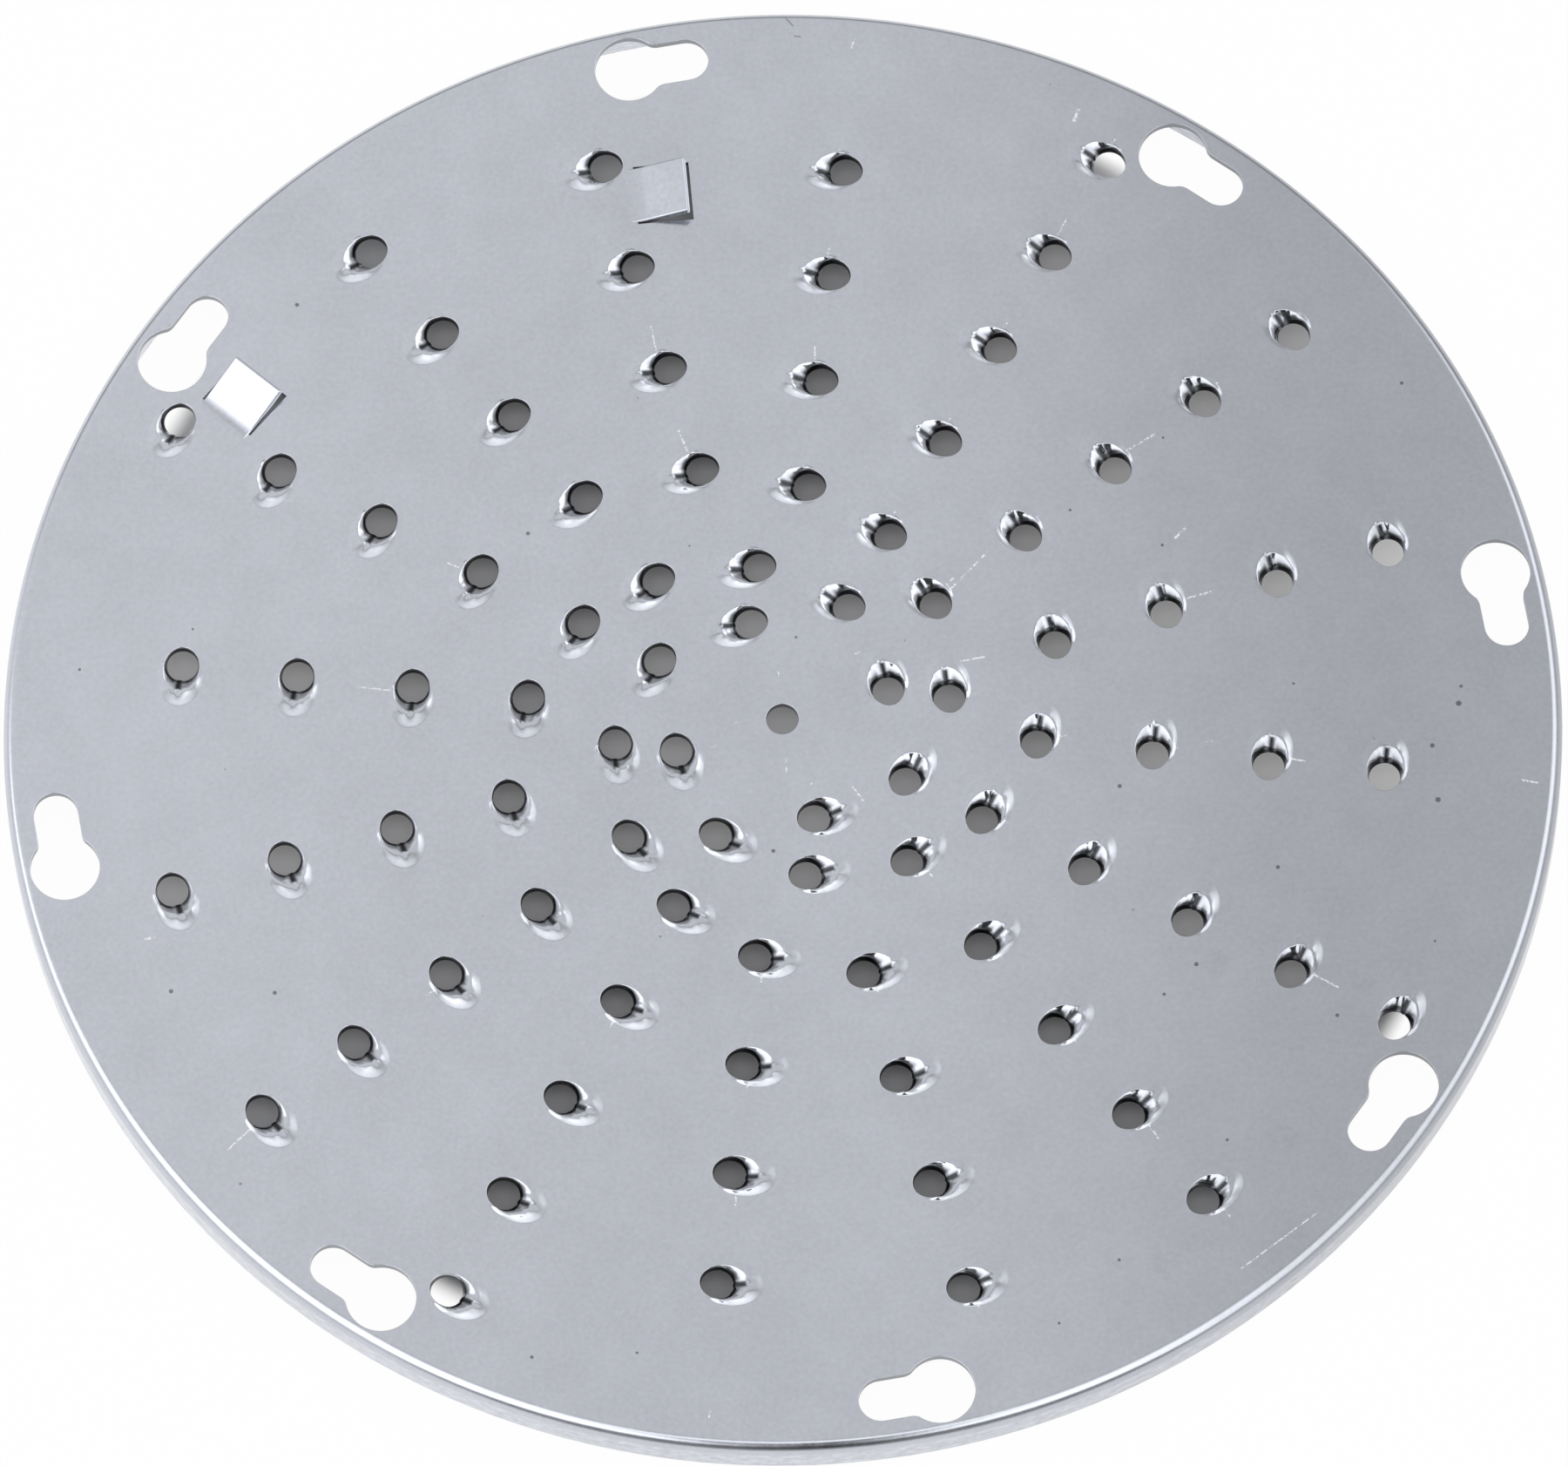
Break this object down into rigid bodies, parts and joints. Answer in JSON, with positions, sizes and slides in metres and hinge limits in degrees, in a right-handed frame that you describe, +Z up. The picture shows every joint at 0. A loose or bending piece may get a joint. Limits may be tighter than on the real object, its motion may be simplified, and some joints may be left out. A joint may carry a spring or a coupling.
{
  "type": "food processor disc",
  "caption": "Round stamped steel shredding disc with a turned-down rim, rings of raised teeth, keyholes near the rim and two bent-up tabs.",
  "frame": {"origin": "on the disc's axis, in the plane of the rim's lower edge", "axes": "+Z up along the disc's axis, to the side the teeth stand on; +Y away from the picture's camera, +X to its right"},
  "size_m": [0.2286, 0.2286, 0.0089],
  "materials": {
    "steel": "satin"
  },
  "bodies": {
    "root": {"shredder_disc": "steel"}
  },
  "joints": []
}
